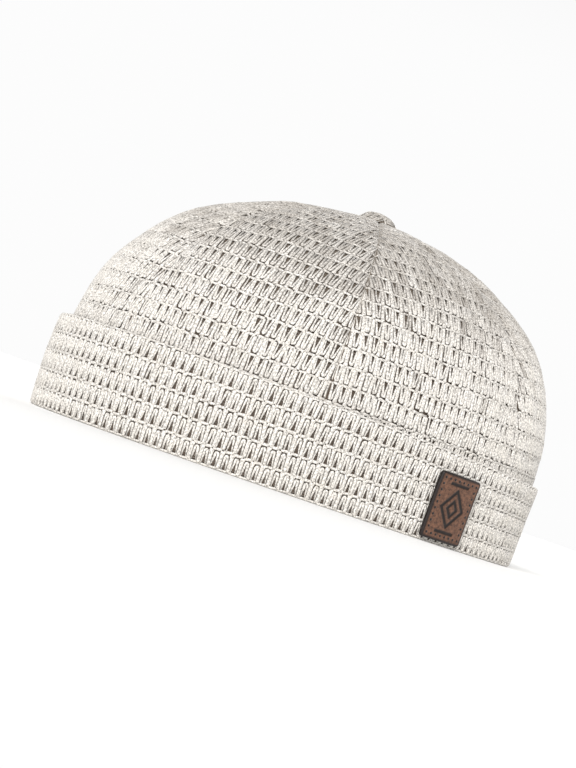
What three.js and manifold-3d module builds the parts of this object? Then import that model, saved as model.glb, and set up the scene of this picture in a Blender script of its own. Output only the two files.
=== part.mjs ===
import * as THREE from 'three';
import { mergeVertices } from 'three/addons/utils/BufferGeometryUtils.js';
import Module from 'manifold-3d';

// Docker cap: a brimless cap of sewn knit-mesh panels with a turned-up cuff, a cloth sweatband, and an arched
// opening at the back that a webbing strap closes through a plastic slider. Millimetres, +Z up, the wearer
// faces -Y and their left is +X. It stands on the fold of its cuff.

// Head size, measured inside the sweatband
const HEAD_LENGTH = 190;
const HEAD_WIDTH = 162;

// Cloth walls, and the gap that sewn pieces keep
const SWEATBAND_WALL = 1.2;
const CROWN_WALL = 1.6;
const CUFF_WALL = 3.2;
const CLEARANCE = 0.3;

// Crown
const CROWN_HEIGHT = 105.5;
const CROWN_LIFT = 2.8;
const CROWN_SIDE_HEIGHT = 20;
const CROWN_SHOULDER = 2.75;
const CROWN_LEAN = 6;
const CROWN_TOP_HOLE = 2;
const SEAM_DIP = 0.9;
const SEAM_DIP_REACH = 6;
const SEAM_DIP_RISE = 25;

// Cuff
const CUFF_FRONT_HEIGHT = 35;
const CUFF_BACK_HEIGHT = 30;
const CUFF_FLARE = 0.8;
const CUFF_END_TAPER = 16;
const CUFF_END_WALL = 1.4;
const CUFF_END_ROUND = 3;

// Sweatband
const SWEATBAND_HEIGHT = 33;
const SWEATBAND_LIFT = 3.4;
const SWEATBAND_SETBACK = 2.2;
const BOUND_EDGE_WIDTH = 3.5;
const BOUND_EDGE_WALL = 2;

// Back opening and its rolled edge
const ARCH_WIDTH = 74;
const ARCH_HEIGHT = 46;
const ARCH_SQUARENESS = 2.3;
const BINDING_RADIUS = 0.8;

// Webbing strap
const WEBBING_WIDTH = 20;
const WEBBING_WALL = 1.1;
const WEBBING_LIFT = 4.2;
const WEBBING_TUCK = 9;
const WEBBING_EASE = 8;
const TAIL_GAP = 1;
const TAIL_DROP = 2.8;
const SHORT_TAIL_LENGTH = 9;

// Slider
const SLIDER_AT = 12.8;
const SLIDER_LENGTH = 17;
const SLIDER_CORNER = 3;
const SLIDER_RAIL = 2.2;
const SLIDER_PLATE = 1.3;
const SLIDER_LIP = 0.6;
const SLIDER_BAR_RADIUS = 1;
const SLIDER_BAR_SPACING = 7.2;
const SLIDER_PLAY = 0.8;

// Button
const BUTTON_DIAMETER = 15.5;
const BUTTON_HEIGHT = 3.8;
const BUTTON_CUP = 0.2;
const BUTTON_EDGE = 1.1;

// Patch on the cuff
const PATCH_WIDTH = 19.5;
const PATCH_HEIGHT = 24;
const PATCH_WALL = 1.4;
const PATCH_LIFT = 1.5;

// Directions round the head, in degrees from the front towards the wearer's left
const FRONT_SEAM = 0;
const SIDE_SEAM = 48;
const REAR_SEAM = 108;
const CUFF_END = 135;
const PATCH_AT = 87;

// Colours, taken by eye
const KNIT_COLOUR = 0xe9e2d6;
const CUFF_COLOUR = 0xf0eadf;
const COTTON_COLOUR = 0xd9d0c3;
const WEBBING_COLOUR = 0x15191c;
const PLASTIC_COLOUR = 0x1b2022;
const LEATHER_COLOUR = 0x7d5a45;

// The crown's outer face stands outside the sweatband and its own wall.
const HALF_WIDTH = HEAD_WIDTH / 2 + SWEATBAND_WALL + CLEARANCE + CROWN_WALL;
const HALF_LENGTH = HEAD_LENGTH / 2 + SWEATBAND_WALL + CLEARANCE + CROWN_WALL;

const { lerp, smoothstep, degToRad } = THREE.MathUtils;

function steps(count) {
  return Array.from({ length: count + 1 }, (_, step) => step / count);
}

// The angle of the oval's formula that lies in a direction round the head.
function angleTowards(degrees) {
  const turn = degToRad(degrees);
  return Math.atan2(Math.sin(turn) / HALF_WIDTH, Math.cos(turn) / HALF_LENGTH);
}

// The share of the way from the rim to the top button at which the side starts to curve in
const SIDE_SHARE = 0.14;
const ROW_EASE = 1.3;
const TOP_ANGLE = Math.acos(CROWN_TOP_HOLE / HALF_WIDTH);

// How far the crown still reaches out, and how high it is, at a share of the way up.
function meridian(share) {
  if (share <= SIDE_SHARE) {
    return { reach: 1, height: CROWN_SIDE_HEIGHT * share / SIDE_SHARE };
  }
  const turn = TOP_ANGLE * ((share - SIDE_SHARE) / (1 - SIDE_SHARE)) ** ROW_EASE;
  const rise = Math.sin(turn) ** (2 / CROWN_SHOULDER);
  return { reach: Math.cos(turn), height: lerp(CROWN_SIDE_HEIGHT, CROWN_HEIGHT, rise) };
}

function shareAtHeight(height) {
  if (height <= CROWN_SIDE_HEIGHT) {
    return SIDE_SHARE * height / CROWN_SIDE_HEIGHT;
  }
  const rise = (height - CROWN_SIDE_HEIGHT) / (CROWN_HEIGHT - CROWN_SIDE_HEIGHT);
  const turn = Math.asin(rise ** (CROWN_SHOULDER / 2));
  return lerp(SIDE_SHARE, 1, (turn / TOP_ANGLE) ** (1 / ROW_EASE));
}

function crownFace(angle, share) {
  const { reach, height } = meridian(share);
  const rise = Math.max(0, height - CROWN_SIDE_HEIGHT) / (CROWN_HEIGHT - CROWN_SIDE_HEIGHT);
  return new THREE.Vector3(
    HALF_WIDTH * reach * Math.sin(angle),
    CROWN_LEAN * rise - HALF_LENGTH * reach * Math.cos(angle),
    height,
  );
}

const PROBE = 1e-3;

// A point that stands out from the crown's outer face, or inside it where out is negative.
function onCrown(angle, share, out) {
  const low = Math.min(share, 1 - PROBE);
  const round = crownFace(angle + PROBE, share).sub(crownFace(angle - PROBE, share));
  const up = crownFace(angle, low + PROBE).sub(crownFace(angle, low - PROBE));
  return crownFace(angle, share).addScaledVector(round.cross(up).normalize(), out);
}

// A closed solid through a row of sections, each a loop that goes up one face and down the other.
function loft(sections) {
  const size = sections[0].length;
  const last = (sections.length - 1) * size;
  const points = sections.flat();
  const triangles = [];
  const quad = (a, b, c, d) => triangles.push([a, b, c], [a, c, d]);
  for (let start = 0; start < last; start += size) {
    for (let k = 0; k < size; k++) {
      const next = (k + 1) % size;
      quad(start + k, start + size + k, start + size + next, start + next);
    }
  }
  for (let k = 0; k < size / 2 - 1; k++) {
    const across = size - 1 - k;
    quad(k, k + 1, across - 1, across);
    quad(last + across, last + across - 1, last + k + 1, last + k);
  }
  const volume = triangles.reduce((sum, [a, b, c]) => (
    sum + points[a].dot(points[b].clone().cross(points[c]))), 0);
  const outward = volume > 0 ? triangles : triangles.map(([a, b, c]) => [a, c, b]);
  const geometry = new THREE.BufferGeometry().setFromPoints(points);
  geometry.setIndex(outward.flat());
  return geometry;
}

function mirrored(geometry) {
  const copy = geometry.clone().scale(-1, 1, 1);
  const index = copy.index.array;
  for (let k = 0; k < index.length; k += 3) {
    [index[k], index[k + 1]] = [index[k + 1], index[k]];
  }
  return copy;
}

// The softened edge of a strip of cloth, as shares of half its wall
const SOFT_EDGE = [
  { out: 0.4, up: 0 },
  { out: 0.85, up: 0.35 },
  { out: 1, up: 1 },
];

// The loop round a strip of cloth that stands on its edge, measured from the middle of its lower edge.
function stripLoop(wall, height, rows) {
  const edge = SOFT_EDGE.map(({ out, up }) => ({ out: out * wall / 2, up: up * wall / 2 }));
  const middle = steps(rows).slice(1, -1).map((share) => (
    { out: wall / 2, up: lerp(wall / 2, height - wall / 2, share) }));
  const top = edge.toReversed().map(({ out, up }) => ({ out, up: height - up }));
  const face = [...edge, ...middle, ...top];
  return [...face, ...face.toReversed().map(({ out, up }) => ({ out: -out, up }))];
}

// The back opening is an arch: its edge from the rim at the wearer's left to the back seam.
function archEdge(inset, count) {
  const halfWidth = ARCH_WIDTH / 2 - inset;
  const height = ARCH_HEIGHT - inset;
  const power = 2 / ARCH_SQUARENESS;
  const foot = Math.asin((CROWN_LIFT / height) ** (1 / power));
  return steps(count).map((share) => {
    const turn = lerp(foot, Math.PI / 2, share);
    const across = halfWidth * Math.max(0, Math.cos(turn)) ** power;
    return { angle: Math.PI - Math.asin(across / HALF_WIDTH), height: height * Math.sin(turn) ** power };
  });
}

// Distance along the back, from its middle, to the arch's edge at a height
function archHalf(height, inset) {
  const share = 1 - (height / (ARCH_HEIGHT - inset)) ** ARCH_SQUARENESS;
  const across = (ARCH_WIDTH / 2 - inset) * share ** (1 / ARCH_SQUARENESS);
  return HALF_WIDTH * Math.asin(across / HALF_WIDTH);
}

const PANEL_ROWS = 17;
const PANEL_COLUMNS = 11;
const ARCH_COLUMNS = 8;
const BACK_SIDE_COLUMNS = 8;
const COLUMN_CROWDING = 0.25;

// Columns crowd towards the seams, where the cloth dips.
function panelColumns(from, to, count) {
  return steps(count).map((share) => ({
    angle: lerp(from, to, share - COLUMN_CROWDING * Math.sin(2 * Math.PI * share) / (2 * Math.PI)),
    height: CROWN_LIFT,
  }));
}

function crownPanel(columns) {
  const from = columns[0].angle;
  const to = columns.at(-1).angle;
  const middle = (from + to) / 2;
  const place = ({ angle, height }, row, out) => {
    const share = lerp(shareAtHeight(height), 1, row);
    const at = meridian(share);
    const radius = at.reach * HALF_WIDTH;
    const trimmed = middle + (angle - middle) * (1 - CLEARANCE / (radius * (to - from)));
    const toSeam = Math.min(angle - from, to - angle) * radius;
    const fade = smoothstep(at.height, CUFF_FRONT_HEIGHT, CUFF_FRONT_HEIGHT + SEAM_DIP_RISE);
    const besideButton = smoothstep(radius, BUTTON_DIAMETER / 2, 2 * BUTTON_DIAMETER);
    const dip = SEAM_DIP * fade * besideButton * Math.exp(-((toSeam / SEAM_DIP_REACH) ** 2));
    return onCrown(trimmed, share, out - dip);
  };
  const rows = steps(PANEL_ROWS);
  return loft(columns.map((column) => [
    ...rows.map((row) => place(column, row, 0)),
    ...rows.toReversed().map((row) => place(column, row, -CROWN_WALL)),
  ]));
}

function frontPanel() {
  return crownPanel(panelColumns(angleTowards(FRONT_SEAM), angleTowards(SIDE_SEAM), PANEL_COLUMNS));
}

function sidePanel() {
  return crownPanel(panelColumns(angleTowards(SIDE_SEAM), angleTowards(REAR_SEAM), PANEL_COLUMNS));
}

function backPanel() {
  const arch = archEdge(0, ARCH_COLUMNS);
  const side = panelColumns(angleTowards(REAR_SEAM), arch[0].angle, BACK_SIDE_COLUMNS);
  return crownPanel([...side.slice(0, -1), ...arch]);
}

const CUFF_COLUMNS = 44;
const CUFF_ROWS = 4;

// The cuff's outer face at an angle and height: it stands on the crown and opens a little towards its top.
function cuffOut(height, out) {
  return CLEARANCE + CUFF_FLARE * height / CUFF_FRONT_HEIGHT + out;
}

function cuff() {
  const end = angleTowards(CUFF_END);
  const sections = steps(CUFF_COLUMNS).map((share) => {
    const angle = lerp(-end, end, share);
    const toEnd = (end - Math.abs(angle)) * HALF_LENGTH;
    const wall = lerp(CUFF_END_WALL, CUFF_WALL, smoothstep(toEnd, 0, CUFF_END_TAPER));
    const cut = CUFF_END_ROUND * (1 - smoothstep(toEnd, 0, CUFF_END_TAPER / 2));
    const towardsBack = (1 - Math.cos(angle)) / 2;
    const height = lerp(CUFF_FRONT_HEIGHT, CUFF_BACK_HEIGHT, towardsBack) - 2 * cut;
    return stripLoop(wall, height, CUFF_ROWS).map(({ out, up }) => (
      onCrown(angle, shareAtHeight(up + cut), cuffOut(up + cut, wall / 2 + out))));
  });
  return loft(sections);
}

const SWEATBAND_COLUMNS = 44;
const SWEATBAND_CROWDING = 0.45;

// Distance along the back, from its middle, to the sweatband's bound edge
const SWEATBAND_END = archHalf(CROWN_LIFT, 0) + SWEATBAND_SETBACK;

function sweatband() {
  const end = Math.PI - SWEATBAND_END / HALF_WIDTH;
  const sections = steps(SWEATBAND_COLUMNS).map((share) => {
    const eased = share - SWEATBAND_CROWDING * Math.sin(2 * Math.PI * share) / (2 * Math.PI);
    const angle = lerp(-end, end, eased);
    const toEnd = (end - Math.abs(angle)) * HALF_WIDTH;
    const pocket = 1 - smoothstep(toEnd, WEBBING_TUCK + 1, 2 * WEBBING_TUCK);
    const wall = lerp(BOUND_EDGE_WALL, SWEATBAND_WALL, smoothstep(toEnd, 0, BOUND_EDGE_WIDTH));
    const outerFace = CROWN_WALL + CLEARANCE + pocket * (WEBBING_WALL + CLEARANCE);
    return stripLoop(wall, SWEATBAND_HEIGHT, 2).map(({ out, up }) => (
      onCrown(angle, shareAtHeight(SWEATBAND_LIFT + up), out - wall / 2 - outerFace)));
  });
  return loft(sections);
}

const BINDING_SIDES = 8;
const BINDING_STEPS = 12;

// The rolled edge follows the arch just inside its cut.
function archBinding() {
  const half = archEdge(CLEARANCE + BINDING_RADIUS, BINDING_STEPS);
  const other = half.slice(0, -1).toReversed().map(({ angle, height }) => (
    { angle: 2 * Math.PI - angle, height }));
  const centres = [...half, ...other];
  const place = ({ angle, height }, out) => onCrown(angle, shareAtHeight(height), out);
  const sections = centres.map((centre, k) => {
    const middle = place(centre, -CROWN_WALL / 2);
    const outward = place(centre, 1).sub(place(centre, 0)).normalize();
    const before = place(centres[Math.max(0, k - 1)], 0);
    const after = place(centres[Math.min(centres.length - 1, k + 1)], 0);
    const along = after.sub(before).normalize();
    const across = along.clone().cross(outward).normalize();
    return steps(BINDING_SIDES).slice(0, -1).map((share) => {
      const turn = 2 * Math.PI * share;
      return middle.clone()
        .addScaledVector(outward, BINDING_RADIUS * Math.cos(turn))
        .addScaledVector(across, BINDING_RADIUS * Math.sin(turn));
    });
  });
  return loft(sections);
}

// A place at the back: along from its middle towards the wearer's left, deep inside the crown's outer face.
function atBack(along, deep, height) {
  return onCrown(Math.PI - along / HALF_WIDTH, shareAtHeight(height), -deep);
}

// Depths of the webbing: the run that is sewn in under the sweatband, the tail that lies outside it, and the
// slider's bars between them.
const RUN_DEPTH = CROWN_WALL + CLEARANCE + WEBBING_WALL / 2;
const TAIL_DEPTH = RUN_DEPTH - WEBBING_WALL - CLEARANCE;
const BAR_DEPTH = (RUN_DEPTH + TAIL_DEPTH) / 2;
const LOOP_RADIUS = SLIDER_BAR_RADIUS + CLEARANCE + WEBBING_WALL / 2;

const RUN_STEPS = 8;
const EASE_STEPS = 4;
const LOOP_STEPS = 8;
const TAIL_STEPS = 5;

// The webbing's course from its sewn end, round a bar of the slider and back as a tail.
function webbingCourse(side, bar, tailLength, tailDrop) {
  const start = side * (SWEATBAND_END + WEBBING_TUCK);
  const nearBar = bar + side * WEBBING_EASE;
  const end = bar + side * tailLength;
  const eased = (from, to, share) => lerp(from, to, smoothstep(share, 0, 1));
  const run = steps(RUN_STEPS).slice(0, -1).map((share) => ({
    along: lerp(start, nearBar, share),
    deep: RUN_DEPTH,
    drop: 0,
  }));
  const runIn = steps(EASE_STEPS).slice(0, -1).map((share) => ({
    along: lerp(nearBar, bar, share),
    deep: eased(RUN_DEPTH, BAR_DEPTH + LOOP_RADIUS, share),
    drop: 0,
  }));
  const loop = steps(LOOP_STEPS).map((share) => ({
    along: bar - side * LOOP_RADIUS * Math.sin(Math.PI * share),
    deep: BAR_DEPTH + LOOP_RADIUS * Math.cos(Math.PI * share),
    drop: 0,
  }));
  const runOut = steps(EASE_STEPS).slice(1).map((share) => ({
    along: lerp(bar, nearBar, share),
    deep: eased(BAR_DEPTH - LOOP_RADIUS, TAIL_DEPTH, share),
    drop: 0,
  }));
  const tail = steps(TAIL_STEPS).slice(1).map((share) => ({
    along: lerp(nearBar, end, share),
    deep: TAIL_DEPTH,
    drop: tailDrop * share,
  }));
  return [...run, ...runIn, ...loop, ...runOut, ...tail];
}

function webbing(side, bar, tailLength, tailDrop) {
  const course = webbingCourse(side, bar, tailLength, tailDrop);
  const sections = course.map(({ along, deep, drop }, k) => {
    const before = course[Math.max(0, k - 1)];
    const after = course[Math.min(course.length - 1, k + 1)];
    const tangent = new THREE.Vector2(after.along - before.along, after.deep - before.deep).normalize();
    return stripLoop(WEBBING_WALL, WEBBING_WIDTH, 1).map(({ out, up }) => (
      atBack(along - tangent.y * out, deep + tangent.x * out, WEBBING_LIFT - drop + up)));
  });
  return loft(sections);
}

// The free tail ends just short of the arch's rolled edge.
function longStrap() {
  const bar = SLIDER_AT - SLIDER_BAR_SPACING / 2;
  const tailTop = WEBBING_LIFT + WEBBING_WIDTH - TAIL_DROP;
  const tailEnd = archHalf(tailTop, CLEARANCE + 2 * BINDING_RADIUS) - TAIL_GAP;
  return webbing(-1, bar, bar + tailEnd, TAIL_DROP);
}

function shortStrap() {
  return webbing(1, SLIDER_AT + SLIDER_BAR_SPACING / 2, SHORT_TAIL_LENGTH, 0);
}

const wasm = await Module();
wasm.setup();

function solid(geometry) {
  const plain = new THREE.BufferGeometry();
  plain.setAttribute('position', geometry.getAttribute('position'));
  plain.setIndex(geometry.index);
  const merged = mergeVertices(plain, PROBE);
  return new wasm.Manifold(new wasm.Mesh({
    numProp: 3,
    vertProperties: new Float32Array(merged.getAttribute('position').array),
    triVerts: new Uint32Array(merged.index.array),
  }));
}

function fromSolid(body) {
  const mesh = body.getMesh();
  const geometry = new THREE.BufferGeometry();
  geometry.setAttribute('position', new THREE.BufferAttribute(new Float32Array(mesh.vertProperties), 3));
  geometry.setIndex(new THREE.BufferAttribute(new Uint32Array(mesh.triVerts), 1));
  return geometry;
}

const CORNER_SEGMENTS = 5;
const BAR_SIDES = 12;

// The slider, drawn with y as depth inside the crown's outer face and z from its middle: a plate towards the
// head, a rail above and below the webbing, and two round bars that the webbing loops round.
function slider() {
  const insideHeight = WEBBING_WIDTH + SLIDER_PLAY;
  const halfHeight = insideHeight / 2 + SLIDER_RAIL;
  const halfLength = SLIDER_LENGTH / 2;
  const plateDepth = BAR_DEPTH + LOOP_RADIUS + WEBBING_WALL / 2 + CLEARANCE;
  const straight = { x: halfLength - SLIDER_CORNER, y: halfHeight - SLIDER_CORNER };
  const outline = new THREE.Shape();
  outline.absarc(straight.x, straight.y, SLIDER_CORNER, 0, Math.PI / 2);
  outline.absarc(-straight.x, straight.y, SLIDER_CORNER, Math.PI / 2, Math.PI);
  outline.absarc(-straight.x, -straight.y, SLIDER_CORNER, Math.PI, 3 * Math.PI / 2);
  outline.absarc(straight.x, -straight.y, SLIDER_CORNER, 3 * Math.PI / 2, 2 * Math.PI);
  const depth = plateDepth + SLIDER_PLATE + SLIDER_LIP;
  const block = new THREE.ExtrudeGeometry(outline, { depth, bevelEnabled: false, curveSegments: CORNER_SEGMENTS });
  block.rotateX(-Math.PI / 2);
  block.translate(0, -SLIDER_LIP, 0);
  const tunnelDepth = plateDepth + 2 * SLIDER_LIP;
  const tunnel = new THREE.BoxGeometry(2 * SLIDER_LENGTH, tunnelDepth, insideHeight);
  tunnel.translate(0, plateDepth - tunnelDepth / 2, 0);
  let body = solid(block).subtract(solid(tunnel));
  const barHeight = insideHeight + SLIDER_RAIL;
  for (const x of [-SLIDER_BAR_SPACING / 2, SLIDER_BAR_SPACING / 2]) {
    const bar = new THREE.CylinderGeometry(SLIDER_BAR_RADIUS, SLIDER_BAR_RADIUS, barHeight, BAR_SIDES);
    bar.rotateX(Math.PI / 2);
    bar.translate(x, BAR_DEPTH, 0);
    body = body.add(solid(bar));
  }
  return fromSolid(body);
}

const BUTTON_SIDES = 28;
const BUTTON_RINGS = 7;

// The covered button: an underside that cups the crown, a tucked edge and a low dome.
function button() {
  const radius = BUTTON_DIAMETER / 2;
  const dome = steps(BUTTON_RINGS).map((share) => {
    const turn = share * Math.PI / 2;
    const reach = share < 1 ? radius * Math.cos(turn) : 0;
    return new THREE.Vector2(reach, lerp(BUTTON_EDGE, BUTTON_HEIGHT, Math.sin(turn)));
  });
  const rim = radius - BUTTON_EDGE;
  const profile = [new THREE.Vector2(0, 0), new THREE.Vector2(rim, -BUTTON_CUP), ...dome];
  return new THREE.LatheGeometry(profile, BUTTON_SIDES).rotateX(Math.PI / 2);
}

const PATCH_COLUMNS = 6;

// The patch is bent to the cuff's outer face.
function patch() {
  const centre = angleTowards(PATCH_AT);
  const halfTurn = PATCH_WIDTH / 2 / HALF_LENGTH;
  const sections = steps(PATCH_COLUMNS).map((share) => {
    const angle = lerp(centre - halfTurn, centre + halfTurn, share);
    return stripLoop(PATCH_WALL, PATCH_HEIGHT, 2).map(({ out, up }) => {
      const height = PATCH_LIFT + up;
      const stand = CUFF_WALL + CLEARANCE + PATCH_WALL / 2 + out;
      return onCrown(angle, shareAtHeight(height), cuffOut(height, stand));
    });
  });
  return loft(sections);
}

function finish(color, roughness) {
  return () => new THREE.MeshStandardMaterial({ color, roughness, metalness: 0 });
}

const knit = finish(KNIT_COLOUR, 0.9);
const cuffKnit = finish(CUFF_COLOUR, 0.9);
const cotton = finish(COTTON_COLOUR, 0.85);
const woven = finish(WEBBING_COLOUR, 0.7);
const plastic = finish(PLASTIC_COLOUR, 0.35);
const leather = finish(LEATHER_COLOUR, 0.6);

const cap = new THREE.Group();

function addPiece(name, geometry, material) {
  const mesh = new THREE.Mesh(geometry, material());
  mesh.name = name;
  cap.add(mesh);
  return mesh;
}

for (const [place, panel] of [['front', frontPanel()], ['side', sidePanel()], ['back', backPanel()]]) {
  addPiece(`crown_panel_${place}_left`, panel, knit);
  addPiece(`crown_panel_${place}_right`, mirrored(panel), knit);
}
addPiece('cuff', cuff(), cuffKnit);
addPiece('sweatband', sweatband(), cotton);
addPiece('arch_binding', archBinding(), cotton);
addPiece('strap_long', longStrap(), woven);
addPiece('strap_short', shortStrap(), woven);
addPiece('side_patch', patch(), leather);

const crownButton = addPiece('crown_button', button(), knit);
crownButton.position.set(0, CROWN_LEAN, CROWN_HEIGHT + CLEARANCE);

// The slider is stiff and flat, so it lies square to the crown where it sits.
const strapSlider = addPiece('strap_slider', slider(), plastic);
const sliderSeat = atBack(SLIDER_AT, 0, WEBBING_LIFT + WEBBING_WIDTH / 2);
const sliderInward = atBack(SLIDER_AT, 1, WEBBING_LIFT + WEBBING_WIDTH / 2).sub(sliderSeat);
strapSlider.position.copy(sliderSeat);
strapSlider.rotation.z = Math.atan2(sliderInward.y, sliderInward.x) - Math.PI / 2;

// The origin is the middle of the cap's footprint, on the surface that it rests on.
const footprint = new THREE.Box3().setFromObject(cap).getCenter(new THREE.Vector3());
cap.position.y = -footprint.y;

export default cap;
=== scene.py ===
import math

import bpy
import numpy as np
from mathutils import Matrix, Vector


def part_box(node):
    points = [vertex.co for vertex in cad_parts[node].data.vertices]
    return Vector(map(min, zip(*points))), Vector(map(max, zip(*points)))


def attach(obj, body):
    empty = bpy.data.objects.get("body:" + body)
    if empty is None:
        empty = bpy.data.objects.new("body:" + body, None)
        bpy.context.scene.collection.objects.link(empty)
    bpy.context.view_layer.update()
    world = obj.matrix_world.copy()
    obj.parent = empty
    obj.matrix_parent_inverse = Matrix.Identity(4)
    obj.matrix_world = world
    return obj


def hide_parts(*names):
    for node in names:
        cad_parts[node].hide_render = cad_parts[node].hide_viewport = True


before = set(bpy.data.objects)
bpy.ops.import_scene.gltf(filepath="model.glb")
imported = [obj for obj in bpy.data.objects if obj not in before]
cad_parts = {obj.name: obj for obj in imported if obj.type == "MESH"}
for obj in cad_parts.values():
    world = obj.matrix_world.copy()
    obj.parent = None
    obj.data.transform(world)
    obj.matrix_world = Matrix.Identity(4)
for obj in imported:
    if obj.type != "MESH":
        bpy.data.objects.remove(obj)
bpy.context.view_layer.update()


# Camera, floor and studio. The cap stands on its rim on a pale floor, seen from its left front, with the
# picture turned as the cap is turned in the photograph, and from just above the floor.
CAMERA_AZIMUTH = math.radians(44.5)
CAMERA_ELEVATION = math.radians(-1.2)
CAMERA_ROLL = math.radians(19.1)
CAMERA_DISTANCE = 1.054
CAMERA_TARGET = Vector((-0.0048, -0.0044, 0.0375))
CAMERA_LENS, CAMERA_SENSOR = 133.2, 36
NEAREST_SEEN, FARTHEST_SEEN = 0.05, 40
FLOOR_SIZE, FLOOR_GLOW = 14, 0.2
STUDIO_BRIGHT, STUDIO_DIM, WALL_RISE = 0.975, 0.2, (0.14, 0.5)


def node(tree, kind, settings=None, **inputs):
    made = tree.nodes.new(kind)
    for name, value in (settings or {}).items():
        setattr(made, name, value)
    for name, value in inputs.items():
        socket = made.inputs[name.replace("_", " ")]
        if isinstance(value, bpy.types.NodeSocket):
            tree.links.new(value, socket)
        else:
            socket.default_value = value
    return made


def srgb(red, green, blue):
    shares = [channel / 255 for channel in (red, green, blue)]
    return (*[s / 12.92 if s <= 0.04045 else ((s + 0.055) / 1.055) ** 2.4 for s in shares], 1)


def new_material(name, **values):
    material = bpy.data.materials.new(name)
    material.use_nodes = True
    shader = material.node_tree.nodes["Principled BSDF"]
    for socket, value in values.items():
        shader.inputs[socket.replace("_", " ")].default_value = value
    return material, material.node_tree, shader


def mixed(tree, factor, low, high):
    """The colour between two others, each of them fixed or from another node."""
    return node(tree, "ShaderNodeMix", {"data_type": "RGBA"}, Factor=factor, A=low, B=high).outputs["Result"]


def ranged(tree, value, start, end, low=0.0, high=1.0, kind="LINEAR"):
    """Turns the values from start to end into those from low to high."""
    return node(tree, "ShaderNodeMapRange", {"interpolation_type": kind}, Value=value, From_Min=start,
                From_Max=end, To_Min=low, To_Max=high).outputs["Result"]


def look_from(azimuth, elevation):
    flat = math.cos(elevation)
    return Vector((math.sin(azimuth) * flat, -math.cos(azimuth) * flat, math.sin(elevation)))


bpy.ops.object.select_all(action="DESELECT")
towards_camera = look_from(CAMERA_AZIMUTH, CAMERA_ELEVATION)
level = Vector((math.cos(CAMERA_AZIMUTH), math.sin(CAMERA_AZIMUTH), 0))
upright = level.cross(-towards_camera)
right = math.cos(CAMERA_ROLL) * level + math.sin(CAMERA_ROLL) * upright
above = math.cos(CAMERA_ROLL) * upright - math.sin(CAMERA_ROLL) * level
bpy.ops.object.camera_add(
    location=CAMERA_TARGET + CAMERA_DISTANCE * towards_camera,
    rotation=Matrix((right, above, towards_camera)).transposed().to_euler(),
)
camera = bpy.context.object
camera.data.lens = CAMERA_LENS
camera.data.sensor_width = CAMERA_SENSOR
camera.data.clip_start = NEAREST_SEEN
camera.data.clip_end = FARTHEST_SEEN
bpy.context.scene.camera = camera
bpy.context.scene.view_settings.view_transform = "Standard"

bpy.ops.mesh.primitive_plane_add(size=FLOOR_SIZE)
floor = bpy.context.object
floor.name = "floor"
floor_paper, tree, shader = new_material("floor_paper", Roughness=0.9, Emission_Color=(1, 1, 1, 1),
                                         Emission_Strength=FLOOR_GLOW)
grain = node(tree, "ShaderNodeTexNoise", Scale=60.0, Detail=3.0)
tone = mixed(tree, grain.outputs["Fac"], srgb(222, 221, 219), srgb(226, 225, 223))
tree.links.new(tone, shader.inputs["Base Color"])
floor.data.materials.append(floor_paper)

# The studio's walls are bright at the horizon and dimmer overhead.
studio = bpy.data.worlds.new("studio")
studio.use_nodes = True
tree = studio.node_tree
direction = node(tree, "ShaderNodeTexCoord")
parted = node(tree, "ShaderNodeSeparateXYZ", Vector=direction.outputs["Generated"])
glow = ranged(tree, parted.outputs["Z"], *WALL_RISE, STUDIO_BRIGHT, STUDIO_DIM, "SMOOTHSTEP")
tree.nodes["Background"].inputs["Color"].default_value = (1, 1, 1, 1)
tree.links.new(glow, tree.nodes["Background"].inputs["Strength"])
bpy.context.scene.world = studio


def broad_light(name, azimuth, elevation, spread, strength):
    towards_light = look_from(math.radians(azimuth), math.radians(elevation))
    bpy.ops.object.light_add(
        type="SUN", location=towards_light, rotation=towards_light.to_track_quat("Z", "Y").to_euler())
    light = bpy.context.object
    light.name = name
    light.data.angle = math.radians(spread)
    light.data.energy = strength


broad_light("key_light", 34, 35, 22, 3.2)
broad_light("fill_light", -120, 20, 60, 0.6)
broad_light("back_light", 200, 25, 60, 1.05)


# The crown: six panels cut from an open knitted mesh of flat white tape yarn and sewn together from the rim
# to the button. Each stitch is a loop of yarn between two ribs, over a sheet painted dark as the shade in the
# knit's holes and gaps.
# Lengths are in millimetres, and the cap's own middle is under the middle of its rim.
MILLIMETRE = 0.001
HALF_WIDTH, HALF_LENGTH, TOP_REACH = 84.1, 98.1, 2
CROWN_HEIGHT, CROWN_SIDE, CROWN_LEAN = 105.5, 20.0, 6.0
SIDE_SHARE, ROW_EASE, SHOULDER = 0.14, 1.3, 2.75
TOP_ANGLE = math.acos(TOP_REACH / HALF_WIDTH)
CROWN_WALL, CROWN_LIFT = 1.6, 2.8

# The seams, each drawn in and flattened, and the cloth's slack between them
FRONT_SEAM, SIDE_SEAM, REAR_SEAM, BACK_SEAM = 0, 48, 108, 180
SEAM_DIP, SEAM_REACH, SEAM_TUCK, SEAM_FLATTENED = 0.9, 6.0, 0.9, 0.45
SEAM_GAP, SEAM_GROOVE, GROOVE_REACH = 0.04, 0.35, 0.5
SEAM_FADES_LOW, SEAM_FADES_HIGH = (35, 60), (7.75, 31)
CLOTH_DENT, DENT_INSET, DENTS_ROUND, DENTS_UP = 0.3, 14, (9, 15), (14, 8)

# The arched opening at the back, and the hem along the rim
ARCH_HALF, ARCH_HEIGHT, ARCH_SQUARENESS = 37.0, 46.0, 2.3
ARCH_FOOT = math.asin((CROWN_LIFT / ARCH_HEIGHT) ** (ARCH_SQUARENESS / 2))
ARCH_OVERLAP, ARCH_OVERLAP_UP, ARCH_EASE = 3, 2, 0.03
# The hem's sheet gets the height HEM_RELIEF, so that it is painted with less of the shade.
HEM_EASE, HEM_SINK, HEM_RELIEF = 1.2, 0.3, 0.55
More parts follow.
